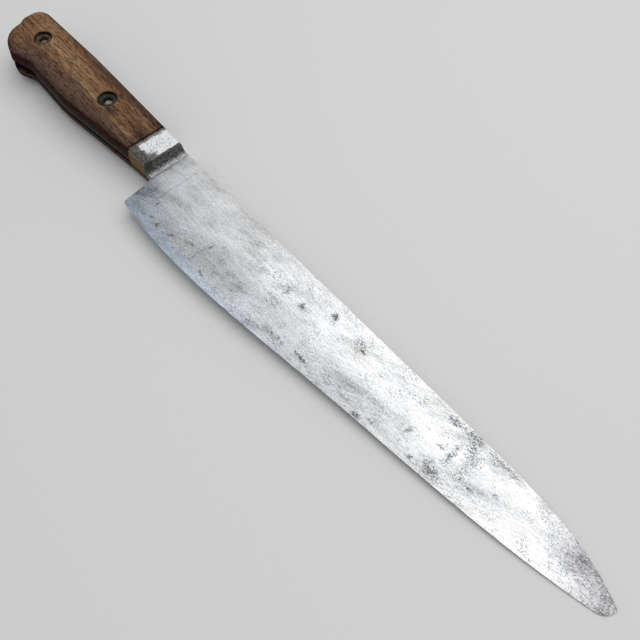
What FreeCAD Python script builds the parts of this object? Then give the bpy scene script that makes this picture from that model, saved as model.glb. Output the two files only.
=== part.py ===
import FreeCAD, Part
import math
import os

V = FreeCAD.Vector

# A carving knife on a full tang: forged blade, steel bolster, two riveted wood scales.
# Drawing frame: X runs from the bolster's rear face towards the point, Y from the cutting
# edge towards the spine with Y = 0 on the spine, Z through the thickness with Z = 0 on the
# blade's middle plane. The finished pieces are moved so that the origin is under the middle
# of the whole knife, which lies on its side.

# ---- blade, mm ----
edge_length = 268.3            # back of the heel to the point
neck_gap = 4.4                 # bolster's front face to the back of the heel
neck_height = 22.6             # spine to the underside of the neck
neck_fillet = 3.4              # corner between the neck and the back of the heel
heel_lean = 1.1                # how far the back of the heel leans forward on its way down
heel_height = 40.0             # spine to the corner of the heel
heel_corner = 1.6              # rounding of the worn heel corner
belly_swell = 2.1              # how much deeper the belly hangs than that corner
belly_from_heel = 27.0
mid_height = 34.4
mid_from_heel = 132.0
fore_height = 23.8
fore_from_heel = 232.0
nose_height = 18.2             # spine line to where the edge turns up into the nose
nose_length = 5.8              # that place to the point
point_drop = 11.7              # spine line to the point
nose_bulge = 1.6               # how far the blunt nose stands out of its chord
drop_length = 84.0             # from here to the point the spine comes down
drop_mid_from_point = 41.0
drop_mid = 1.2
drop_late_from_point = 20.0
drop_late = 4.4
stock = 2.4                    # thickness of the bar: tang, neck and spine at the heel
spine_mid_thickness = 1.9      # spine thickness halfway along
spine_point_thickness = 0.8    # at the point
edge_thickness = 0.12          # what a worn edge keeps
flat_share = 0.06              # share of the height that keeps the full thickness
shoulder_share = 0.82          # thickness left halfway down the convex grind
bevel_share = 0.34             # thickness left at the top of the edge bevel
bevel_height = 5.0             # height of the edge bevel

# ---- handle, mm ----
handle_thickness = 19.0        # over both scales
handle_rounding = 5.4          # radius between the scales' flat faces and their sides
relief_length = 40.0           # the scales thin towards the bolster over this length
relief_depth = 1.55            # and lose this much each side
tang_recess = 0.45             # tang below the scales' widest line
inner_ease = 0.9               # easing of the scales' inner edges
hook_hollow = (-89.5, -33.6)   # middle of the dish worn between the scales at the hook
hook_hollow_radius = 9.0       # its reach on the scales' inner faces
hook_hollow_depth = 1.9        # and its depth into each of them
tang_hook_radius = 11.5        # tang stops this far from the same middle
seam_gap = 0.35                # shrinkage gap between wood and bolster

# Handle outline as corners and their radii, from the front of the bolster over the spine
# side round the butt and back along the belly.
back_front = (30.0, -0.7, 0.0)
back_crown = (-62.0, 1.5, 260.0)
butt_back = (-113.3, 0.7, 7.5)
butt_lobe = (-113.4, -12.4, 6.0)
butt_notch = (-110.9, -16.2, 0.8)
butt_low = (-109.4, -26.0, 13.0)
hook_toe = (-93.4, -31.6, 6.0)
waist = (-82.5, -27.4, 12.0)
belly = (-52.0, -28.7, 90.0)
bolster_low = (-2.0, -23.5, 40.0)
belly_front = (30.0, -21.2, 0.0)

# ---- bolster, mm ----
bolster_length = 13.3
bolster_thickness = 15.7
bolster_fairing = 3.6          # radius of the hollow that runs out on the blade
fairing_lip = 0.1              # metal left where the hollow ends
bolster_edge = 0.7             # rounding of the bolster's front edge
slot_wall = 1.9                # metal over and under the tang inside the bolster
slot_drop = 0.5                # the tang sits this much lower in the bolster
tang_overlap = 0.5             # tang runs this far into the blade, where they are one bar

# ---- rivets, mm ----
rivet_from_seam = (32.0, 90.4)
rivet_drop = (12.1, 13.0)      # spine line down to the rivets
rivet_heads = (9.6, 9.0)       # the rear one is smaller
rivet_head_thickness = 1.4
rivet_recess = 1.2             # heads sit this far under the wood
rivet_sleeve = 7.0
rivet_bore = 4.8
post_clearance = 0.08
post_depth = 1.7               # post's end below the sleeve's head
post_chamfer = 0.6
sleeve_end_gap = 0.4           # sleeve's lower end to the post's head
hole_clearance = 0.05
head_clearance = 0.2
seat_ease = 0.3                # easing of the wood round the heads' seats
rivet_edge = 0.35              # rounding of the heads' rims

# ---- places that follow from the sizes ----
half = handle_thickness / 2
heel_x = bolster_length + neck_gap
belly_height = heel_height + belly_swell
point_x = heel_x + edge_length
nose_x = point_x - nose_length
head_top = half - rivet_recess
head_low = head_top - rivet_head_thickness
slot_high = -slot_wall - slot_drop
slot_low = -neck_height + slot_wall
rivets = [(V(-x, -y, 0), head) for x, y, head in zip(rivet_from_seam, rivet_drop, rivet_heads)]
far = 400.0                    # beyond any piece, for cuts that go right through
over = 2.0                     # how far a shape that is cut later runs past the cut
near = 0.01                    # two places this close are the same
section_count = 10             # cross-sections that the ground blade is lofted through
taper_power = 1.3              # how much faster the spine thins towards the point


def rounded_outline(corners):
    """Closed wire of straight runs joined by tangent arcs; each corner is (x, y, radius)."""
    edges = []
    last_end = None
    first_start = None
    count = len(corners)
    for i in range(count):
        here = V(corners[i][0], corners[i][1], 0)
        before = V(corners[i - 1][0], corners[i - 1][1], 0)
        after = V(corners[(i + 1) % count][0], corners[(i + 1) % count][1], 0)
        back = (before - here).normalize()
        ahead = (after - here).normalize()
        radius = corners[i][2]
        if radius > 0:
            half_angle = back.getAngle(ahead) / 2
            reach = radius / math.tan(half_angle)
            start = here + back * reach
            end = here + ahead * reach
            bisector = (back + ahead).normalize()
            middle = here + bisector * (radius / math.sin(half_angle) - radius)
        else:
            start = here
            end = here
        if last_end is not None:
            edges.append(Part.LineSegment(last_end, start).toShape())
        else:
            first_start = start
        if radius > 0:
            edges.append(Part.Arc(start, middle, end).toShape())
        last_end = end
    edges.append(Part.LineSegment(last_end, first_start).toShape())
    return Part.Wire(edges)


def inset_corners(corners, inset):
    """The same corners for an outline drawn a distance inside the first one."""
    moved = []
    count = len(corners)
    for i in range(count):
        here = V(corners[i][0], corners[i][1], 0)
        before = V(corners[i - 1][0], corners[i - 1][1], 0)
        after = V(corners[(i + 1) % count][0], corners[(i + 1) % count][1], 0)
        arriving = (here - before).normalize()
        leaving = (after - here).normalize()
        turn = arriving.cross(leaving).z
        inward = V(-arriving.y, arriving.x, 0) + V(-leaving.y, leaving.x, 0)
        inward = inward / (1 + arriving.dot(leaving))
        radius = corners[i][2]
        if radius > 0:
            radius = radius - inset * math.copysign(1, turn)
        place = here + inward * inset
        moved.append((place.x, place.y, radius))
    return moved


def prism(wire, low, high):
    """Solid of a flat outline between two heights."""
    face = Part.Face(wire)
    face.translate(V(0, 0, low))
    return face.extrude(V(0, 0, high - low))


def smooth(points, start=None, end=None):
    """Smooth curve through a few points, with its direction at either end if given."""
    curve = Part.BSplineCurve()
    tangents = {}
    if start is not None:
        tangents["InitialTangent"] = start
    if end is not None:
        tangents["FinalTangent"] = end
    curve.interpolate(Points=[V(x, y, 0) for x, y in points], **tangents)
    return curve


def height_at(curve, x):
    """Where a curve that runs along X has the given x."""
    low, high = curve.FirstParameter, curve.LastParameter
    for _ in range(60):
        middle = (low + high) / 2
        if curve.value(middle).x < x:
            low = middle
        else:
            high = middle
    return curve.value(low).y


# ---- blade ----
def edge_curve():
    return smooth([
        (heel_x + heel_lean, -heel_height),
        (heel_x + belly_from_heel, -belly_height),
        (heel_x + mid_from_heel, -mid_height),
        (heel_x + fore_from_heel, -fore_height),
        (nose_x, -nose_height),
    ])


def blade_outline(edge):
    """Profile of blade and neck, from the bolster's front face to the point."""
    front = bolster_length
    drop_start = V(point_x - drop_length, 0, 0)
    spine_end = smooth([
        (drop_start.x, 0),
        (point_x - drop_mid_from_point, -drop_mid),
        (point_x - drop_late_from_point, -drop_late),
        (point_x, -point_drop),
    ], start=V(1, 0, 0))
    point = V(point_x, -point_drop, 0)
    nose = edge.EndPoint
    chord = nose - point
    outward = V(-chord.y, chord.x, 0).normalize()
    nose_middle = (point + nose) * 0.5 + outward * nose_bulge
    neck_corner = V(heel_x, -neck_height, 0)
    heel = edge.StartPoint
    return Part.Wire([
        Part.LineSegment(V(front, 0, 0), drop_start).toShape(),
        spine_end.toShape(),
        Part.Arc(point, nose_middle, nose).toShape(),
        edge.toShape(),
        Part.LineSegment(heel, neck_corner).toShape(),
        Part.LineSegment(neck_corner, V(front, -neck_height, 0)).toShape(),
        Part.LineSegment(V(front, -neck_height, 0), V(front, 0, 0)).toShape(),
    ])


def spine_thickness(x):
    """Distal taper: slow from the heel to the middle, faster on to the point."""
    middle = heel_x + edge_length / 2
    if x <= middle:
        t = max(x - heel_x, 0) / (middle - heel_x)
        return stock - (stock - spine_mid_thickness) * t
    t = (x - middle) / (point_x - middle)
    return spine_mid_thickness - (spine_mid_thickness - spine_point_thickness) * t ** taper_power


def grind_section(x, depth):
    """Cross-section of the ground blade: convex flanks, then a short bevel to the edge."""
    thick = spine_thickness(x) / 2
    edge = edge_thickness / 2
    bevel_top = -depth + bevel_height * depth / belly_height
    bevel_half = edge + (thick - edge) * bevel_share
    flank = [
        V(x, over, thick),
        V(x, -depth * flat_share, thick),
        V(x, -depth / 2, thick * shoulder_share),
        V(x, bevel_top, bevel_half),
        V(x, -depth, edge),
        V(x, -depth - over, edge / 2),
    ]
    sides = []
    for sign in (1, -1):
        points = [V(p.x, p.y, p.z * sign) for p in flank]
        curve = Part.BSplineCurve()
        curve.interpolate(Points=points[1:5])
        sides.append((points, curve))
    right, left = sides
    edges = [
        Part.LineSegment(left[0][0], right[0][0]).toShape(),
        Part.LineSegment(right[0][0], right[0][1]).toShape(),
        right[1].toShape(),
        Part.LineSegment(right[0][4], right[0][5]).toShape(),
        Part.LineSegment(right[0][5], left[0][5]).toShape(),
        Part.LineSegment(left[0][5], left[0][4]).toShape(),
        left[1].toShape(),
        Part.LineSegment(left[0][1], left[0][0]).toShape(),
    ]
    return Part.Wire(Part.__sortEdges__(edges))


def ground_blade():
    edge = edge_curve()
    profile = blade_outline(edge)
    blank = prism(profile, -stock, stock)
    corners = []
    for e in blank.Edges:
        box = e.BoundBox
        upright = box.ZLength > stock and box.XLength < near and box.YLength < near
        if not upright:
            continue
        if abs(box.Center.x - heel_x) < near and abs(box.Center.y + neck_height) < near:
            corners.append((e, neck_fillet))
        elif abs(box.Center.x - edge.StartPoint.x) < near:
            corners.append((e, heel_corner))
    for e, radius in corners:
        match = [f for f in blank.Edges if f.CenterOfMass.sub(e.CenterOfMass).Length < near]
        blank = blank.makeFillet(radius, match[:1])
    start = heel_x + heel_lean
    sections = [grind_section(bolster_length - over, heel_height)]
    for i in range(section_count):
        x = start + (nose_x - start) * i / (section_count - 1)
        sections.append(grind_section(x, -height_at(edge, x)))
    sections.append(grind_section(point_x + over, nose_height))
    envelope = Part.makeLoft(sections, True, False)
    return blank.common(envelope)


# ---- handle form: bolster and scales are shaped as one ----
handle_corners = [
    back_front, back_crown, butt_back, butt_lobe, butt_notch,
    butt_low, hook_toe, waist, belly, bolster_low, belly_front,
]


def handle_outline(inset):
    return rounded_outline(inset_corners(handle_corners, inset))


def edges_at(shape, z):
    """Edges of a solid that lie wholly at one height."""
    found = []
    for e in shape.Edges:
        box = e.BoundBox
        if box.ZLength < near and abs(box.Center.z - z) < near:
            found.append(e)
    return found


def handle_half(low):
    """Handle's form from a height up: its outline drawn up and rounded into the flat face."""
    form = prism(handle_outline(0), low, half)
    return form.makeFillet(handle_rounding, edges_at(form, half))


def mirrored(shape):
    """The same piece on the other side of the blade."""
    return shape.mirror(V(0, 0, 0), V(0, 0, 1))


def block(x, y, z):
    """Box given by its lowest and highest x, y and z."""
    return Part.makeBox(x[1] - x[0], y[1] - y[0], z[1] - z[0], V(x[0], y[0], z[0]))


def side_profile(edges):
    """Flat side view in X and Z, drawn out across the whole height of the knife."""
    face = Part.Face(Part.Wire(edges))
    face.translate(V(0, -far, 0))
    return face.extrude(V(0, 2 * far, 0))


def line(start, end):
    return Part.LineSegment(V(start[0], 0, start[1]), V(end[0], 0, end[1])).toShape()


def arc(start, middle, end):
    return Part.Arc(*[V(p[0], 0, p[1]) for p in (start, middle, end)]).toShape()


def turned(points, place):
    """Solid turned about a rivet's axis from a profile of radius and height."""
    corners = [V(radius, 0, z) for radius, z in points]
    face = Part.Face(Part.makePolygon(corners + corners[:1]))
    solid = face.revolve(V(0, 0, 0), V(0, 0, 1), 360)
    solid.translate(place)
    return solid


def rivet_hole(place, head):
    """What one rivet takes out of the upper scale: a hole and a seat for its head."""
    shank = rivet_sleeve / 2 + hole_clearance
    seat = head / 2 + head_clearance
    return turned([
        (0, -over),
        (shank, -over),
        (shank, head_low),
        (seat, head_low),
        (seat, half - seat_ease),
        (seat + seat_ease + over, half + over),
        (0, half + over),
    ], place)


def relief():
    """What the scales lose in front, where their flat faces curve down to the bolster."""
    radius = (relief_length ** 2 + relief_depth ** 2) / (2 * relief_depth)
    halfway = math.asin(relief_length / radius) / 2
    start = (-relief_length, half)
    middle = (start[0] + radius * math.sin(halfway), half - radius * (1 - math.cos(halfway)))
    front = (0, half - relief_depth)
    return side_profile([
        arc(start, middle, front),
        line(front, (0, half + over)),
        line((0, half + over), (start[0], half + over)),
        line((start[0], half + over), start),
    ])


def scale():
    """Upper scale, with its inner edges eased and the dish at the hook."""
    inner = stock / 2
    wood = handle_half(inner)
    wood = wood.makeChamfer(inner_ease, edges_at(wood, inner))
    wood = wood.cut(block((-seam_gap, far), (-far, far), (-far, far)))
    wood = wood.cut(relief())
    radius = (hook_hollow_radius ** 2 + hook_hollow_depth ** 2) / (2 * hook_hollow_depth)
    dish = Part.makeSphere(radius, V(*hook_hollow, inner + hook_hollow_depth - radius))
    wood = wood.cut(dish)
    for place, head in rivets:
        wood = wood.cut(rivet_hole(place, head))
    return wood.removeSplitter()


def tang():
    """Full tang: a little below the wood, cut short at the hook, narrower inside the bolster."""
    flat = prism(handle_outline(tang_recess), -stock / 2, stock / 2)
    flat = flat.cut(block((0, far), (-far, far), (-far, far)))
    middle = V(hook_hollow[0], hook_hollow[1], -far)
    flat = flat.cut(Part.makeCylinder(tang_hook_radius, 2 * far, middle))
    along = (-slot_wall, bolster_length + tang_overlap)
    waist_bar = block(along, (slot_low, slot_high), (-stock / 2, stock / 2))
    return flat.fuse(waist_bar)


def blade():
    steel = ground_blade().fuse(tang())
    for place, _ in rivets:
        radius = rivet_sleeve / 2 + hole_clearance
        steel = steel.cut(Part.makeCylinder(radius, 2 * far, place - V(0, 0, far)))
    return steel.removeSplitter()


def bolster(steel):
    """Collar round the neck, with a hollow front that runs out on the blade's flanks."""
    top = bolster_thickness / 2
    lip = stock / 2 + fairing_lip
    front = bolster_length
    end = front + bolster_fairing
    corner = (1 - math.sqrt(0.5))
    form = handle_half(0)
    form = form.common(side_profile([
        line((0, 0), (0, top)),
        line((0, top), (front - bolster_edge, top)),
        arc((front - bolster_edge, top), (front - bolster_edge * corner, top - bolster_edge * corner),
            (front, top - bolster_edge)),
        line((front, top - bolster_edge), (front, lip + bolster_fairing)),
        arc((front, lip + bolster_fairing),
            (front + bolster_fairing * corner, lip + bolster_fairing * corner), (end, lip)),
        line((end, lip), (end, 0)),
        line((end, 0), (0, 0)),
    ]))
    form = form.fuse(mirrored(form)).removeSplitter()
    web = block((front, far), (-far, far), (-stock / 2, stock / 2))
    return form.cut(steel).cut(web)


def rivet_barrel(place, head):
    """Head in the upper scale and a sleeve down through the tang, open at both ends."""
    bore = rivet_bore / 2
    rim = head / 2
    return turned([
        (bore, -head_low + sleeve_end_gap),
        (rivet_sleeve / 2, -head_low + sleeve_end_gap),
        (rivet_sleeve / 2, head_low),
        (rim, head_low),
        (rim, head_top - rivet_edge),
        (rim - rivet_edge, head_top),
        (bore + rivet_edge, head_top),
        (bore, head_top - rivet_edge),
    ], place)


def rivet_post(place, head):
    """Head in the lower scale and a pin up inside the sleeve."""
    rim = head / 2
    pin = rivet_bore / 2 - post_clearance
    end = head_top - post_depth
    return turned([
        (0, -head_top),
        (rim - rivet_edge, -head_top),
        (rim, -head_top + rivet_edge),
        (rim, -head_low),
        (pin, -head_low),
        (pin, end - post_chamfer),
        (pin - post_chamfer, end),
        (0, end),
    ], place)


def build():
    steel = blade()
    upper = scale()
    parts = {
        "blade": steel,
        "bolster": bolster(steel),
        "right_scale": upper,
        "left_scale": mirrored(upper),
    }
    for name, (place, head) in zip(("front", "rear"), rivets):
        parts[name + "_rivet_barrel"] = rivet_barrel(place, head)
        parts[name + "_rivet_post"] = rivet_post(place, head)
    return parts


def write(parts):
    """Move the knife over its origin and write one file per piece."""
    box = Part.makeCompound(list(parts.values())).optimalBoundingBox(False)
    shift = V(-box.Center.x, -box.Center.y, half)
    os.makedirs("parts", exist_ok=True)
    for name, shape in parts.items():
        shape.translate(shift)
        shape.exportStep("parts/" + name + ".step")
        size = shape.optimalBoundingBox(False)
        print(f"{name:20s} solids {len(shape.Solids)} faces {len(shape.Faces):3d} "
              f"{shape.Volume:9.1f} mm3 valid {shape.isValid()} "
              f"x {size.XMin:.2f}..{size.XMax:.2f} y {size.YMin:.2f}..{size.YMax:.2f} "
              f"z {size.ZMin:.2f}..{size.ZMax:.2f}")


write(build())
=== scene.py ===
# %% [markdown]
# # A chef's knife, dressed
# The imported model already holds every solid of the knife: the blade with its tang, the
# bolster, two walnut scales and two rivets of two parts each. This lesson gives them the
# surfaces of a tool that has been used and sharpened for decades, lays the knife on a
# pale table and sets up a camera and a soft lamp.
#
# The solids could be copied and carved further here. They stay as they are, because their
# shapes are already the real ones, down to the sunk rivets and the rounded grip. What is
# still missing lies on the surface: scratches, pits, grain and dirt. All of that is made
# with nodes, so it follows the steel and the wood round to every side.

# %% Load the solids
import math

import bpy
from mathutils import Matrix, Vector


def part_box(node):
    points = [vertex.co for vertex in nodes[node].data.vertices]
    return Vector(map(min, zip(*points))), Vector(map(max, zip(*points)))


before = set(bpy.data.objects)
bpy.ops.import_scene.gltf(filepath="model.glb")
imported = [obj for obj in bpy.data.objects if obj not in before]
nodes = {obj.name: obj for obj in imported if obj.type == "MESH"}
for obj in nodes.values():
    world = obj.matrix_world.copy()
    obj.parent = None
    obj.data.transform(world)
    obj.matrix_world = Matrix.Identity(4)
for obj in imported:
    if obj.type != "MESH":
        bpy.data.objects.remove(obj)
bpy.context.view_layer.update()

print("pieces:", ", ".join(sorted(nodes)))

# %% [markdown]
# ## Where things are
# Every measure below is in millimetres along and across the knife, counted from the seam
# where the wood meets the bolster and from the line of the spine. That is how a cutler
# would say where something is: "forty in front of the bolster, ten below the spine". The
# frame is in metres and starts elsewhere, so two numbers are read from the solids, and
# they tie the cutler's measures to it. Typing those two numbers in would be shorter, but
# they would be wrong as soon as the solids changed.

# %% The seam and the spine
MM = 0.001
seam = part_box("bolster")[0].x
blade_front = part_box("bolster")[1].x
spine = max(v.co.y for v in nodes["blade"].data.vertices if v.co.x > blade_front)
middle = (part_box("blade")[0].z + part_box("blade")[1].z) / 2


def at(x, y, z=0.0):
    """Point in the frame of a place given in mm from the seam, the spine and mid-plane."""
    return Vector((seam + x * MM, spine + y * MM, middle + z * MM))


print(f"seam at {seam / MM:.1f} mm, spine at {spine / MM:.1f} mm")

# %% [markdown]
# ## Arithmetic for surfaces
# A worn surface is a sum: a little brighter here, minus a scratch, darker where it is
# thin. Wiring a Math node for each plus and minus hides that sum, so a small class wraps a
# socket and lets Python write it. Adding or multiplying two values adds the node that does
# it, and `1 - mask` works too, because the reflected forms are there.

# %% Numbers that change over a surface
class Value:
    """A socket that gives a number at each point of a surface."""

    def __init__(self, finish, socket):
        self.finish = finish
        self.socket = socket

    def math(self, operation, *others, clamp=False):
        settings = {"operation": operation, "use_clamp": clamp}
        return self.finish.add("Math", settings, dict(enumerate((self, *others))))

    def __add__(self, other):
        return self.math("ADD", other)

    def __sub__(self, other):
        return self.math("SUBTRACT", other)

    def __rsub__(self, other):
        return self.finish.add("Math", {"operation": "SUBTRACT"}, {0: other, 1: self})

    def __mul__(self, other):
        return self.math("MULTIPLY", other)

    def __pow__(self, other):
        return self.math("POWER", other)

    __radd__ = __add__
    __rmul__ = __mul__

    def clamped(self):
        """The value kept between 0 and 1."""
        return self.math("ADD", 0.0, clamp=True)

    def over(self, other):
        """The larger of the two."""
        return self.math("MAXIMUM", other)

    def size(self):
        """The value without its sign."""
        return self.math("ABSOLUTE")

    def smooth(self, zero_at, one_at):
        """A soft step from 0 to 1 between two levels, either of which may be the larger."""
        low, high = (0.0, 1.0) if zero_at < one_at else (1.0, 0.0)
        return self.finish.add("MapRange", {"interpolation_type": "SMOOTHSTEP"}, {
            "Value": self, "From Min": min(zero_at, one_at), "From Max": max(zero_at, one_at),
            "To Min": low, "To Max": high})


print("values can be added, subtracted, multiplied, raised, clamped and compared")

# %% [markdown]
# ## A material under construction
# Every finish of this knife starts as an empty material whose nodes are put together one
# by one. One method, `add`, makes any node: its settings first, then the values or links
# of its sockets. Building them by hand in the editor shows more at once, but nearly forty
# crowds of rust pits would take an afternoon. All finishes read Object coordinates
# turned into the cutler's millimetres, so a pit that lies at 131 mm is written as 131. A
# UV map would do the same for a flat blade, but the grip is rounded, and a map would tear
# there.

# %% The bench
class Bench:
    """A material on the bench, whose nodes are being put together."""

    def __init__(self, name, **constants):
        self.material = bpy.data.materials.new(name)
        self.material.use_nodes = True
        self.tree = self.material.node_tree
        self.shader = self.tree.nodes["Principled BSDF"]
        for socket, constant in constants.items():
            self.shader.inputs[socket.replace("_", " ")].default_value = constant
        place = self.add("TexCoord", output="Object")
        shift = self.add("VectorMath", {"operation": "SUBTRACT"}, {0: place, 1: at(0, 0)})
        self.place = self.add("VectorMath", {"operation": "SCALE"},
                              {0: shift, "Scale": 1 / MM})
        self.x, self.y, self.z = self.three(self.place)

    def add(self, kind, settings=None, inputs=None, output=0):
        """A node of a type: its settings first, then its sockets' values or links."""
        node = self.tree.nodes.new("ShaderNode" + kind)
        for name, setting in (settings or {}).items():
            if name == "stops":
                self.set_stops(node.color_ramp.elements, setting)
            else:
                setattr(node, name, setting)
        for name, given in (inputs or {}).items():
            if isinstance(given, Value):
                self.tree.links.new(given.socket, node.inputs[name])
            else:
                node.inputs[name].default_value = given
        return Value(self, node.outputs[output])

    @staticmethod
    def set_stops(elements, stops):
        """Give a ramp one colour at each place, as many as there are stops."""
        while len(elements) < len(stops):
            elements.new(1.0)
        for element, (place, colour) in zip(elements, stops):
            element.position = place
            element.color = (*colour, 1.0)

    def three(self, vector):
        """The three numbers of a vector."""
        first = self.add("SeparateXYZ", inputs={"Vector": vector})
        return [Value(self, socket) for socket in first.socket.node.outputs]

    def tell(self, step):
        print(f"{self.material.name}, {step}: {len(self.tree.nodes)} nodes so far")


print("zero of every finish, in m:", [round(c, 4) for c in at(0, 0)])

# %% [markdown]
# ## Textures in millimetres
# Scratches, clouds and wood grain are all the same thing at different stretches: lumps of
# noise, drawn out along one direction. Pits and stains add a soft round mark, whose border
# can be pushed about by clouds. Four short methods make these, and the knife needs no
# others. Scanned textures would hold more detail, but each carries one light and one
# size with it.

# %% Textures
class Textures(Bench):
    """The few patterns that steel and wood need again and again."""

    def stretched(self, along, across, turn=0.0, seed=0.0):
        """The place with one unit every so many mm along and across the knife."""
        turned = self.add("VectorRotate", {"rotation_type": "Z_AXIS"},
                          {"Vector": self.place, "Angle": math.radians(turn)})
        return self.add("Mapping", inputs={
            "Vector": turned, "Location": (seed, seed * 1.7, 0.0),
            "Scale": (1 / along, 1 / across, 1 / across)})

    def noise(self, where, detail=4.0, roughness=0.55, output=0):
        """Clouds with lumps one unit wide, the rougher the more fine detail they hold."""
        return self.add("TexNoise", inputs={
            "Vector": where, "Scale": 1.0, "Detail": detail, "Roughness": roughness},
            output=output)

    def pushed(self, amounts, clouds):
        """The place, moved by coloured clouds times so many mm along each direction."""
        push = self.add("VectorMath", {"operation": "MULTIPLY"}, {0: clouds, 1: amounts})
        return self.add("VectorMath", {"operation": "ADD"}, {0: self.place, 1: push})

    def spot(self, x, y, radius, stretch=(1.0, 1.0), where=None):
        """1 in the middle of a soft round mark on the flat of the knife, 0 outside it."""
        wide, deep = stretch
        flat = self.add("VectorMath", {"operation": "MULTIPLY"},
                        {0: where or self.place, 1: (1 / wide, 1 / deep, 0.0)})
        distance = self.add("VectorMath", {"operation": "DISTANCE"},
                            {0: flat, 1: (x / wide, y / deep, 0.0)}, output="Value")
        return distance.smooth(radius, 0.0)


print("textures: stretched, noise, pushed, spot")

# %% [markdown]
# ## Colour and shader
# Colours go through Mix and Vector Math nodes, because a Math node would turn them grey.
# At the end a finish has a colour, a roughness and a relief, and these are joined to the
# shader. The relief goes in as a bump, a few hundredths of a millimetre deep: cutting such
# scratches into the mesh would need millions of faces for something seen only by its
# glint.

# %% Colour and shader
class Finish(Textures):
    """A whole finish, from the place in mm to the shader."""

    def mixed(self, factor, first, second):
        """Colour that goes from the first to the second."""
        first, second = [c if isinstance(c, Value) else (*c, 1.0) for c in (first, second)]
        return self.add("Mix", {"data_type": "RGBA"},
                        {"Factor": factor, 6: first, 7: second}, output=2)

    def painted(self, colour, light):
        """The colour, lightened or darkened by a value."""
        return self.add("VectorMath", {"operation": "SCALE"}, {0: colour, "Scale": light})

    def close(self, colour, roughness, relief, depth):
        """Join the finished values to the shader; depth is the relief's, in mm."""
        bump = self.add("Bump", inputs={"Height": relief, "Distance": depth * MM,
                                        "Strength": 1.0})
        for name, value in {"Base Color": colour, "Roughness": roughness,
                            "Normal": bump}.items():
            if isinstance(value, Value):
                self.tree.links.new(value.socket, self.shader.inputs[name])
            else:
                self.shader.inputs[name].default_value = value
        return self.material


print("a finish ends in Base Color, Roughness and Normal")

# %% [markdown]
# ## Putting a finish on
# Each solid was packed with one plain material per slot. The finish goes into those slots,
# so the solid keeps its mesh, its place and its name, and only looks different. Appending
# the material beside the plain one would leave the faces pointing at the old slot.

# %% Dressing a solid
def dress(material, *names):
    """Give these solids a finish in place of the plain one they were packed with."""
    for name in names:
        for slot in nodes[name].material_slots:
            slot.material = material
    print(f"{material.name}: {len(material.node_tree.nodes)} nodes on {', '.join(names)}")


print("solids to dress:", len(nodes))

# %% [markdown]
# ## Blade steel: scratches
# An old carbon steel blade is never one grey. The whetstone leaves fine lines along it,
# and a scouring pad leaves wilder strokes across, in two leanings, only where the hand
# went often. Anisotropic shading could fake a brushed metal, but it has no single hairs
# in it and doesn't survive a bake. So each direction is a cloud texture that is stretched
# until its lumps are hairs, half a millimetre wide and up to 24 mm long.

# %% Blade steel, the scratches
f = Finish("blade_steel", Metallic=1.0)
depth = f.y * -1
honing = f.noise(f.stretched(24, 0.6, turn=3, seed=5), roughness=0.7)
strokes = f.noise(f.stretched(13, 0.55, turn=-24, seed=8), roughness=0.7)
counter = f.noise(f.stretched(8, 0.6, turn=24, seed=9), detail=3, roughness=0.6)
scoured = f.noise(f.stretched(34, 20, seed=15), detail=1).smooth(0.35, 0.60)
brushed = ((honing - 0.5) * 0.42 + (strokes - 0.5) * 0.62 * scoured
           + (counter - 0.5) * 0.22)
f.tell("scratched")

# %% [markdown]
# ## Blade steel: clouds of etch
# Onions, lemons and wet cloths etch the steel unevenly, in clouds from the size of a palm
# down to a grain of sand. One texture with a lot of detail would also cloud over, but with
# the same contrast at every size. Four textures, each with a strength of its own, let the
# grain stay sharp while the wide clouds stay soft.

# %% Blade steel, the clouds
broad = f.noise(f.stretched(42, 16, turn=-12, seed=11), detail=2)
clouds = f.noise(f.stretched(8, 4.5, turn=-20, seed=3), detail=5, roughness=0.65)
grain = f.noise(f.stretched(1.0, 0.7, seed=21), roughness=0.8)
etched = f.noise(f.stretched(22, 9, turn=-15, seed=61), detail=5, roughness=0.6)
uneven = clouds - 0.5
mottle = (broad - 0.5) * 0.40 + uneven * 0.28 + (grain - 0.5) * 0.80
mottle = mottle - etched.smooth(0.50, 0.64) * 0.13
f.tell("clouded")

# %% [markdown]
# ## Blade steel: regions
# The metal is greyer towards the edge, where it is thin and often ground, at the corner
# of the heel and near the point. The stone's own bevel is a narrow strip along the edge,
# which runs out halfway. Someone could paint these regions as a mask. Here each one is a
# soft step on a distance in millimetres, moved a little by the clouds, so that its border
# wanders as a worn one does.

# %% Blade steel, the regions
low = (depth - 20 + uneven * 12).smooth(-9, 9) * f.x.smooth(225, 155)
heel = (f.x + uneven * 30).smooth(95, 15)
point = (f.x + uneven * 12 - depth * 1.2).smooth(228, 274)
corner = (depth - f.x * 0.55 + uneven * 6).smooth(2, 27) * f.x.smooth(105, 20)
edge_line = 42.1 - (f.x - 50) ** 2 * 0.00078
# The bevel gets a painted reflection of the sky: a little lighter here, and blue in the
# tints.
bevel_reflection = (depth - edge_line + f.x.smooth(120, 30) * 2.6 + 2.2).smooth(-0.8, 0.6)
bevel_reflection = bevel_reflection * f.x.smooth(150, 90)
light = (0.66 + mottle + brushed + heel * 0.08 - low * 0.18 - point * 0.27
         - corner * 0.16 + bevel_reflection * 0.05)
# Darker on the neck in front of the bolster; a painted highlight at the very point.
light = light - f.x.smooth(18.6, 16.6) * 0.16 + f.x.smooth(222, 238) * 0.07
light = light + f.spot(133, -14, 26, (1, 0.6)) * 0.05
f.tell("with its regions")
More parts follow.
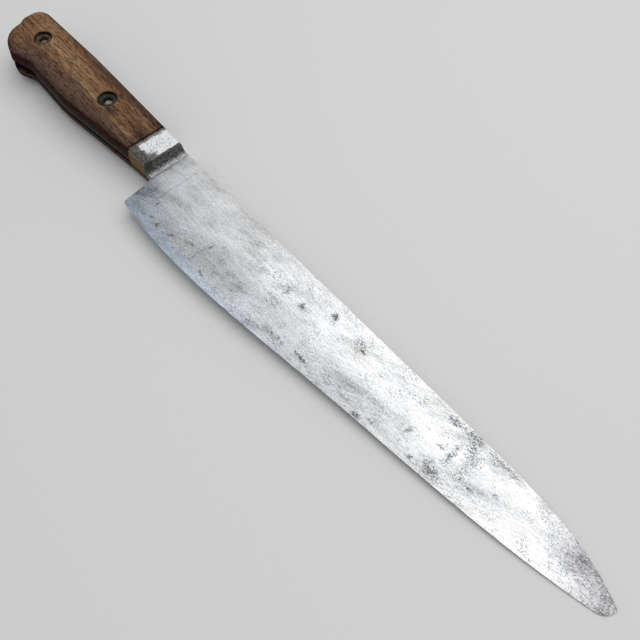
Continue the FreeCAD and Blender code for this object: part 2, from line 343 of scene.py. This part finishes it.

# %% [markdown]
# ## Blade steel: tints
# Steel takes the colour of the skin of oxide on it: faintly violet at the point, tan along
# the spine where food dried. The bluish tint at the heel, along the edge and on the bevel
# is a painted reflection of the blue sky. The tints are mixed in one after the other,
# weakest last, because each region lies over the one before. The numbers are close to
# white, so the metal stays metal.

# %% Blade steel, the tints
# Painted reflection of the blue sky: bluish at the heel, along the edge, its corner and
# bevel.
PLAIN, SKY_REFLECTION = (0.98, 0.985, 0.99), (0.92, 0.96, 1.0)
steel = f.mixed((low * 0.6).over(heel * 0.5), PLAIN, SKY_REFLECTION)
steel = f.mixed((corner * 0.85).clamped(), steel, (0.76, 0.87, 1.0))
steel = f.mixed(bevel_reflection * 0.75, steel, (0.76, 0.86, 1.0))
steel = f.mixed(point * 0.6, steel, (0.97, 0.94, 1.0))
dried = (depth + uneven * 9).smooth(4.0, 0.0) * f.x.smooth(110, 40)
warm = f.noise(f.stretched(20, 9, seed=71), detail=3).smooth(0.52, 0.70)
steel = f.mixed((dried * 0.5).over(warm * 0.15).clamped(), steel, (0.94, 0.87, 0.76))
f.tell("tinted")

# %% [markdown]
# ## Blade steel: where rust was
# Rust eats pits, and cleaning leaves them black. They come in crowds, and the crowds are
# what anyone would know this blade by: one streak right across near the point, a spotted
# back, a few stars in the middle and a row along the heel. Scattering specks at random
# would give rust, but not this rust. So the crowds are listed with their places, and the
# specks themselves stay a texture that grows denser inside them.

# %% Where the pits crowd
PITTED = [
    # x and y of the middle, radius, (stretch along, stretch across), weight
    # the back and the streak near the point
    (199, -2.5, 6, (1.3, 0.6), 0.72), (209, -2, 7, (1.2, 0.6), 0.68),
    (221, -2, 8, (1.3, 0.5), 0.62), (231, -2.5, 6, (1.2, 0.5), 0.52),
    (211, -6, 6, (1, 1), 0.66), (214.5, -10.5, 7, (0.9, 1), 0.52),
    (206.5, -25.5, 7.5, (1.1, 0.7), 0.68), (203, -23.5, 5, (1, 1), 0.55),
    (207, -14.5, 10.5, (0.24, 1), 0.76), (214.5, -17, 9, (0.5, 1), 0.56),
    (221, -19.3, 1.7, (1.3, 0.7), 1.0), (201.5, -14.7, 1.7, (1.6, 0.6), 0.95),
    (188.4, -19, 2.6, (0.9, 1.1), 0.75), (196.7, -26.7, 2.2, (1.2, 0.8), 0.8),
    (198.7, -4.2, 2, (1.2, 0.8), 0.9), (229.5, -14.1, 1.6, (1, 1), 0.7),
    # the stars and the spotted edge in the middle
    (90, -14.5, 7, (1.2, 0.5), 0.4), (99, -10, 4.5, (1.2, 0.6), 0.45),
    (107.5, -13.5, 5, (0.7, 1.5), 0.5), (113, -5, 4.5, (1, 1), 0.42),
    (107, -21.5, 5.5, (1.1, 0.6), 0.5), (117.7, -14.4, 2.6, (1.1, 0.9), 1.05),
    (131, -6.9, 2.4, (1, 1.1), 1.3), (151.5, -9.5, 2.0, (1.3, 0.7), 1.35),
    (148.6, -7.9, 6, (1, 1), 0.62), (136, -31.6, 3.4, (2.2, 0.45), 0.95),
    (122, -32.4, 3, (2.8, 0.25), 0.8), (169, -31.2, 2.4, (1.3, 0.6), 0.9),
    # the row along the heel
    (23, -24, 3.2, (1.1, 1), 0.8), (31, -29.0, 1.8, (1, 1.2), 1.0),
    (35, -35, 2.0, (1.2, 1), 0.95), (40.5, -36, 2.2, (1, 1), 1.0),
    (49.5, -35, 1.7, (1, 1), 0.9), (60, -31, 1.8, (1, 0.8), 0.95),
    (67, -25, 2.0, (1, 1.2), 1.0), (74.5, -37, 2.0, (1.2, 0.8), 0.85),
    (28.6, -26, 2.4, (0.35, 2.2), 0.8), (85, -18.5, 6, (1.8, 0.5), 0.4),
]
PUSH = 6.0      # mm by which the clouds move a crowd's border, half of it to each side
bent = f.pushed((PUSH, PUSH, PUSH), f.noise(f.stretched(3.5, 3.0, seed=31),
                                            roughness=0.7, output="Color"))
crowd = point * 0.20
for x, y, radius, stretch, weight in PITTED:
    mark = f.spot(x + PUSH / 2, y + PUSH / 2, radius * 1.2, stretch, where=bent)
    crowd = crowd.over(mark * weight)
f.tell(f"with {len(PITTED)} crowds of pits")

# %% [markdown]
# ## Blade steel: pits and dust
# Three sizes of speck share the crowds: pits that a nail would catch in, dust as fine as
# flour, and a round pepper that is strewn over the middle of the blade as well. A stain
# lies under them, for the brown that the steel keeps where it was eaten. The darkest of
# them wins at each point, because a pit inside a stain is as dark as a pit.

# %% Blade steel, the pits
specks = f.noise(f.stretched(0.95, 0.6, turn=-20, seed=41), detail=5, roughness=0.85)
dust = f.noise(f.stretched(0.8, 0.5, seed=47), roughness=0.8)
pepper = f.noise(f.stretched(0.7, 0.55, seed=53), detail=1).smooth(0.64, 0.70)
scatter = f.noise(f.stretched(9, 7, seed=51), detail=3, roughness=0.6).smooth(0.42, 0.68)
strewn = scatter.over(f.spot(101, -12, 27, (1, 0.5)) * 0.95).over(crowd)
pits = (specks + crowd * 0.22).smooth(0.64, 0.76)
fine = (dust + crowd * 0.10 + point * 0.08 + scatter * 0.08).smooth(0.60, 0.72)
stain = (crowd * (clouds * 2.2 - 0.6)).clamped() * 0.17
dark = (pits * 0.74).over(fine * 0.42).over(stain).over(pepper * strewn * 0.72)
f.tell("pitted")

# %% [markdown]
# ## Blade steel: lines and the tang
# Two faint lines run right across, left by something that lay against the blade, and a
# soft band beside them. Behind the seam the same bar of steel is the tang. It is painted
# black, for old damp and as painted shade of the groove it lies sunk in, and only its edge
# at the rear is rubbed grey by hands. It could have been a second material, but the two
# meet inside the bolster, and one material with a step at the seam needs no border between
# faces there.

# %% Blade steel, the lines and the tang
for x, top_end, low_end, strength in ((28.6, -3, -33, 0.30), (65.3, -24, -37, 0.28)):
    line = ((f.x - x) * 1.6 + uneven * 3.0).size().smooth(1.0, 0.0)
    span = f.y.smooth(top_end + 3, top_end - 3) * f.y.smooth(low_end - 2, low_end + 3)
    dark = dark.over(line * span * (grain * 1.2 + 0.2) * strength)
dark = dark.over((f.x - 22 + uneven * 5).size().smooth(3.5, 0.0) * 0.10)

tang = f.x.smooth(1.0, -1.0)
rubbed = f.x.smooth(-86, -78) * f.z.size().smooth(1.15, 0.8)
# The tang's black is old damp together with painted shade of the groove between the scales.
tang_colour = f.mixed(rubbed, (0.010, 0.009, 0.008), (0.085, 0.068, 0.052))
light = light.over(0.12) * (1 - dark)
blade_steel = f.close(
    colour=f.mixed(tang, f.painted(steel, light), tang_colour),
    roughness=(0.34 + uneven * 0.20 + dark * 0.35 + tang * 0.4 + point * 0.04).clamped(),
    relief=honing * 0.5 + strokes * scoured * 0.7 + grain * 0.9 - pits * 3.0 - fine * 1.2,
    depth=0.022)
dress(blade_steel, "blade")

# %% [markdown]
# ## Bolster: where the cloth never reached
# The bolster is the steel collar between the wood and the blade. Its flats are wiped
# bright with every use. Black dirt stays along the wood, on the hollow wall at its front,
# at the foot where it meets the blade, and in smudges on the flat. A node that finds
# corners by itself, such as Ambient Occlusion, would darken them all, also those that a
# thumb keeps clean. So each place is named and gets its own soft step.

# %% Bolster, the dirt
f = Finish("bolster_steel", Metallic=1.0)
clouds = f.noise(f.stretched(3, 3, seed=2), detail=5, roughness=0.65)
patches = f.noise(f.stretched(2.2, 1.6, seed=14), detail=5, roughness=0.75)
specks = f.noise(f.stretched(1.1, 0.9, seed=4), detail=5, roughness=0.85)
sand = f.noise(f.stretched(0.9, 0.9, seed=33), roughness=0.8) - 0.5
ragged = (clouds - 0.5) * 5 + (patches - 0.5) * 3

seam_dirt = (f.x + ragged * 0.55).smooth(3.0, 0.3)
wall = (f.x + ragged * 0.18).smooth(12.4, 13.2) * f.z.size().smooth(1.2, 3.4)
wall = wall * (0.86 + sand * 1.1)
foot = f.x.smooth(13.0, 13.6) * (0.46 + f.x.smooth(16.8, 13.9) * 0.42 + sand * 1.0)
corner = f.spot(12.5, -16.5, 6.0, (1.1, 1.0)) * 0.9
smudged = (corner + (patches - 0.5) * 1.2 + sand * 2.0).smooth(0.36, 0.72)
f.tell("dirty")

# %% [markdown]
# ## Bolster: the side, with painted reflection and shade
# The narrow side under the fingers is painted brown and darker, a painted reflection, and
# it gets painted shade towards the table. The rounded rim above it and the corner in front
# of it are grey with sandy dirt, and pits gather near the wood. The brown could be a thin
# coat over the steel. It is mixed into the metal's own colour instead, so that the painted
# reflection shines as steel does.

# %% Bolster, the side's painted reflection and shade
# Painted reflection on the side under the fingers, warm brown and darker.
side_reflection = (f.y + 18.9 + ragged * 0.3).smooth(1.2, -0.8) * f.x.smooth(13.2, 12.2)
# Painted shade on that side, towards the table.
shade = side_reflection * f.z.smooth(1.5, -1.5)
rim = (f.y + 17.4 + ragged * 0.55).smooth(0.9, -0.7) * f.z.smooth(5.0, 7.0)
rim = rim * f.x.smooth(13.2, 12.4)
front_corner = (f.y + 17.8).smooth(0.8, -0.6) * f.x.smooth(11.8, 12.5)
front_corner = front_corner * f.x.smooth(15.5, 14.0)
pits = (specks + seam_dirt * 0.2 + corner * 0.12).smooth(0.545, 0.61)

dark = (seam_dirt * (0.45 + patches * 0.9)).over(wall * 0.96).over(pits * 0.72).over(foot)
dark = dark.over(smudged * 0.80).over(side_reflection * 0.78).over(shade * 0.90)
dark = dark.over(rim * (0.84 + sand * 0.9)).over(front_corner * 0.90).clamped()
light = (1.03 + (clouds - 0.5) * 0.6 + (patches - 0.5) * 0.9) * (1 - dark)
# The side's warm tint is a painted reflection, with a little brown from the seam's dirt.
reflection_and_seam_dirt = (side_reflection * (1 - rim * 0.75) + seam_dirt * 0.3).clamped()
bolster_steel = f.close(
    colour=f.painted(f.mixed(reflection_and_seam_dirt, (1.0, 1.0, 0.99), (0.86, 0.52, 0.22)), light),
    roughness=0.40 + clouds * 0.08 + dark * 0.2,
    relief=clouds * 1.5 + specks * 0.8 - pits * 2.0, depth=0.03)
dress(bolster_steel, "bolster")

# %% [markdown]
# ## Walnut: the grain
# The scales are two flat-sawn pieces of walnut: long wandering streaks, fine fibres, and
# the open vessels of the wood, which look like short dark dashes. Rings of a Wave texture
# would make a log, cut across. A plank that was sawn along shows streaks, and clouds
# stretched along the grip give those with more variety. A slow wandering of the place
# comes first, so that all layers bend together as the fibres of one tree do.

# %% Walnut, the grain
f = Finish("walnut", Specular_IOR_Level=0.03)
wandering = f.pushed((0.0, 8.0, 4.0),
                     f.noise(f.stretched(60, 14, seed=6), detail=2, output="Color"))


def along_grain(length, width, seed, detail=3.0, roughness=0.55):
    """Clouds drawn out along the fibres, in mm."""
    where = f.add("Mapping", inputs={
        "Vector": wandering, "Location": (seed, seed * 1.3, seed * 0.7),
        "Scale": (1 / length, 1 / width, 1 / width)})
    return f.noise(where, detail=detail, roughness=roughness)


bands = along_grain(110, 7, 7, detail=2)
streaks = along_grain(40, 1.7, 12, detail=4, roughness=0.65)
fibres = along_grain(14, 0.6, 17, detail=4, roughness=0.7)
vessels = along_grain(5.5, 0.55, 23, roughness=0.6).smooth(0.55, 0.61)
flecks = along_grain(3.0, 0.5, 29, detail=2).smooth(0.55, 0.63)
f.tell("with its grain")

# %% [markdown]
# ## Walnut: the colour
# The wood is palest along the middle, between the rivets, and darker along the back. One
# number, the tone, says how dark each streak is, and a ramp turns that into the browns of
# walnut, from nearly black to honey. Mixing two browns would give only what lies between
# them, and the real wood turns redder as it darkens.

# %% Walnut, the colour
pale = f.spot(-66, -12, 56, (1, 0.15)) * 0.40
back = (f.y + 5.5).smooth(-3, 3) * f.x.smooth(-100, -45) * 0.34
tone = (bands - 0.5) * 1.3 + (streaks - 0.5) * 0.75 + 0.56 + pale - back
wood = f.add("ValToRGB", {"stops": [
    (0.0, (0.060, 0.026, 0.016)), (0.28, (0.115, 0.057, 0.036)),
    (0.50, (0.222, 0.115, 0.060)), (0.75, (0.325, 0.182, 0.094)),
    (1.0, (0.370, 0.230, 0.128))]}, {"Fac": tone})
f.tell("coloured")

# %% [markdown]
# ## Walnut: painted shade and sheen on the rounded sides
# The rounded sides are painted dark and red as shade, most of all on the finger side,
# which faces away from the lamp, and get a wide greyer band of painted sheen where the flat
# starts to roll over. The side of the grip is known by its normal: the flat faces up, and
# the further a point has turned away, the more painted shade it gets. A mask by position
# would slip where the grip narrows.

# %% Walnut, painted shade and sheen on the sides
normal_y, normal_z = f.three(f.add("TexCoord", output="Normal"))[1:]
facing = normal_z.size()
# The finger side faces away from the lamp and gets the most painted shade and sheen.
away_from_lamp = 0.50 + (normal_y * -1).smooth(-0.2, 0.5) * 0.50
turned = facing + (streaks - 0.5) * 0.25
# Painted sheen: a greyer band where the flat starts to roll over.
rollover_sheen = (turned.smooth(1.04, 0.84) * away_from_lamp * 0.85).clamped()
wood = f.mixed(rollover_sheen, wood, (0.108, 0.068, 0.056))
# Painted shade, dark and red, on the sides turned away from the top.
shaded_sides = turned.smooth(0.93, 0.52) * away_from_lamp
wood = f.mixed((shaded_sides * 0.97).clamped(), wood, (0.030, 0.0095, 0.0048))

# Painted sheen: a greyer band along the flat's edge on the finger side.
flat_edge_sheen = (f.y + 17.4 + (streaks - 0.5) * 7).smooth(2.2, -2.2) * facing.smooth(0.5, 0.8)
flat_edge_sheen = flat_edge_sheen * (f.x.smooth(-104, -84) * 0.75 + 0.25)
wood = f.mixed(flat_edge_sheen * 0.72, wood, (0.104, 0.064, 0.048))
f.tell("painted_shade_and_sheen")

# %% [markdown]
# ## Walnut: painted edge light, groove shade and damp
# The edge of the left scale beside the tang gets a pale painted highlight. The groove
# between the scales is painted nearly black as shade, damp has blackened the wood beside
# the front rivet, and a dark line runs where the wood butts against the bolster. They come
# last, in the order in which they would be seen by someone who wiped the knife: the
# groove's painted shade lies over everything.

# %% Walnut, painted edge light and groove shade, damp
PALE_EDGE, GROOVE_SHADE = (0.19, 0.115, 0.070), (0.008, 0.006, 0.005)
# Painted highlight: the left scale's edge beside the tang, lit from above.
wear_and_edge_light = f.z.smooth(-4.0, -3.2) * shaded_sides * f.z.smooth(0, -2) * 0.6
wood = f.mixed(wear_and_edge_light, wood, PALE_EDGE)
# Painted shade: the groove between the scales, nearly black.
wood = f.mixed(f.z.size().smooth(3.0, 2.4) * 0.95, wood, GROOVE_SHADE)
damp = f.spot(-24.5, -11, 6.5, (1.3, 0.8), where=wandering)
damp = damp.over(f.spot(-3, -14, 6, (0.6, 2.2)) * 0.6)
wood = f.mixed((damp * 0.75).clamped(), wood, (0.035, 0.028, 0.028))
butt = (f.x + (streaks - 0.5) * 1.2).smooth(-1.5, -0.3)
wood = f.mixed(butt * 0.85, wood, (0.012, 0.008, 0.006))

light = (1.0 + (fibres - 0.5) * 1.3) * (1 - vessels * 0.52) * (1 - flecks * 0.45)
walnut = f.close(
    colour=f.painted(wood, light),
    roughness=0.56 + vessels * 0.25 + (fibres - 0.5) * 0.12 - shaded_sides * 0.10,
    relief=fibres * 0.5 + streaks * 0.3 - vessels - flecks * 0.5, depth=0.18)
dress(walnut, "right_scale", "left_scale")

# %% [markdown]
# ## Rivets: the barrels
# Each rivet is a barrel sunk into the wood with a post in its middle. The barrels are
# steel that was never polished: the front one is nearly black, and the rear one has
# browned. One finish serves both, because they are the same part, and a step between them
# along the knife sets their two colours.

# %% Rivet barrels
f = Finish("rivet_steel", Metallic=0.8)
clouds = f.noise(f.stretched(1.5, 1.5, seed=5), roughness=0.6)
fine = f.noise(f.stretched(0.6, 0.6, seed=7), detail=3)
rear = f.x.smooth(-55, -65)
wear_and_edge_light = clouds.smooth(0.35, 0.65)
black = f.mixed(wear_and_edge_light, (0.018, 0.018, 0.014), (0.060, 0.058, 0.048))
brown = f.mixed(wear_and_edge_light, (0.050, 0.034, 0.022), (0.150, 0.106, 0.070))
rivet_steel = f.close(
    colour=f.painted(f.mixed(rear, black, brown), 0.6 + fine * 0.8),
    roughness=0.45 + clouds * 0.25, relief=clouds + fine * 0.5, depth=0.06)
dress(rivet_steel, "front_rivet_barrel", "rear_rivet_barrel")

# %% [markdown]
# ## Rivets: the posts
# The posts are the softer, yellower metal in the middle. The front one is rubbed to a
# dull brass, and the rear one is tarnished green. A shinier metal would catch the lamp
# and look new, so the finish is only two thirds metal and half rough.

# %% Rivet posts
f = Finish("pin_brass", Metallic=0.65)
clouds = f.noise(f.stretched(1.1, 1.1, seed=9), roughness=0.6)
brass = f.mixed(clouds.smooth(0.35, 0.65), (0.20, 0.14, 0.09), (0.55, 0.44, 0.31))
brass = f.mixed(f.x.smooth(-55, -65), brass, (0.20, 0.20, 0.12))
pin_brass = f.close(colour=f.painted(brass, 0.75 + clouds * 0.5), roughness=0.5,
                    relief=clouds, depth=0.05)
dress(pin_brass, "front_rivet_post", "rear_rivet_post")

# %% [markdown]
# ## How the knife lies
# A knife on a table touches it with the point of the blade and with the handle, and its
# heel hangs clear. The grip is thicker than the blade, so the whole knife is tipped a
# little, nose down. The solids stay where the frame has them, so the table is tipped
# instead. Its slope is the steepest line from the point to any part of the handle.

# %% The line the knife rests on
corners = [v.co for node in nodes.values() for v in node.data.vertices]
nose_x = max(p.x for p in corners)
nose = min((p for p in corners if p.x > nose_x - 1 * MM), key=lambda p: p.z)
slope = max((nose.z - p.z) / (nose.x - p.x) for p in corners if p.x < seam)
tilt = math.atan(slope)

along = Vector((math.cos(tilt), 0, math.sin(tilt)))
across = Vector((0, 1, 0))
upright = Vector((-math.sin(tilt), 0, math.cos(tilt)))


def on_table(x, y, height=0.0):
    """Point over the table: mm from the seam and the spine, and mm above its top."""
    top_z = nose.z + (seam + x * MM - nose.x) * slope
    return Vector((seam + x * MM, spine + y * MM, top_z)) + upright * (height * MM)


print(f"the knife rests on its point and its handle, tipped {math.degrees(tilt):.2f} degrees")

# %% [markdown]
# ## Table
# A plain pale top, wide enough that the eye never meets its end from above. It is dull,
# since a shiny table would throw light up under the knife and wash out the dark side of
# the grip.

# %% Table
bpy.ops.mesh.primitive_plane_add(size=8.0)
table = bpy.context.object
table.name = "table"
upright_turn = Matrix((along, across, upright)).transposed().to_4x4()
table.matrix_world = Matrix.Translation(on_table(0, 0)) @ upright_turn
table_top = Finish("table_top", Base_Color=(0.78, 0.77, 0.75, 1), Roughness=0.75,
                   Specular_IOR_Level=0.2)
table.data.materials.append(table_top.material)
print(f"table {table.dimensions.x:.1f} m wide, through z = {on_table(0, 0).z / MM:.1f} mm")

# %% [markdown]
# ## Lamp and world
# Polished steel shows what it mirrors. One large soft lamp stands high over the far side
# of the blade, where the front half of the steel mirrors it and turns nearly white. The
# heel mirrors only the even, slightly blue world, and stays grey. Several small lamps
# would light the wood as well, but they would leave hard spots on the blade.

# %% Lamp and world
lamp_place, lamp_target = on_table(150, 330, 1000), on_table(90, -15)
lamp_data = bpy.data.lights.new("overhead", "AREA")
lamp_data.shape = "RECTANGLE"
lamp_data.size = lamp_data.size_y = 1.3
lamp_data.energy = 6.0
lamp = bpy.data.objects.new("overhead", lamp_data)
bpy.context.scene.collection.objects.link(lamp)
lamp.location = lamp_place
lamp.rotation_mode = "QUATERNION"
lamp.rotation_quaternion = (lamp_target - lamp_place).to_track_quat("-Z", "Y")

world = bpy.data.worlds.new("studio")
bpy.context.scene.world = world
world.use_nodes = True
background = world.node_tree.nodes["Background"]
background.inputs["Color"].default_value = (0.93, 0.96, 1.0, 1)
background.inputs["Strength"].default_value = 0.50
print(f"lamp {(lamp_target - lamp_place).length:.2f} m from the blade")

# %% [markdown]
# ## Camera
# The eye is a quarter of a metre above the table, over the front of the blade and a
# hand's width beyond its edge. It looks down steeply and is turned so that the knife runs
# from the upper left to the lower right. Place and angles are given over the table.
# A Track To constraint could aim the camera, but the roll about its own axis matters here,
# and three directions written out leave nothing to guess.

# %% Camera
DIP = math.radians(61.0)        # how far the eye looks down
TURN = math.radians(47.93)      # how far it is turned from straight across the blade
ahead = across * math.cos(TURN) - along * math.sin(TURN)
look = ahead * math.cos(DIP) - upright * math.sin(DIP)
up = ahead * math.sin(DIP) + upright * math.cos(DIP)

camera = bpy.data.objects.new("camera", bpy.data.cameras.new("camera"))
bpy.context.scene.collection.objects.link(camera)
camera.matrix_world = Matrix.Translation(on_table(237.0, -111.4, 270.85)) @ Matrix(
    (look.cross(up), up, -look)).transposed().to_4x4()
camera.data.sensor_width = 36.0
camera.data.lens = 39.375
camera.data.clip_start = 0.01
bpy.context.scene.camera = camera
bpy.context.scene.view_settings.view_transform = "Standard"
print(f"camera {(camera.matrix_world.translation - at(90, -20)).length:.2f} m from the blade")
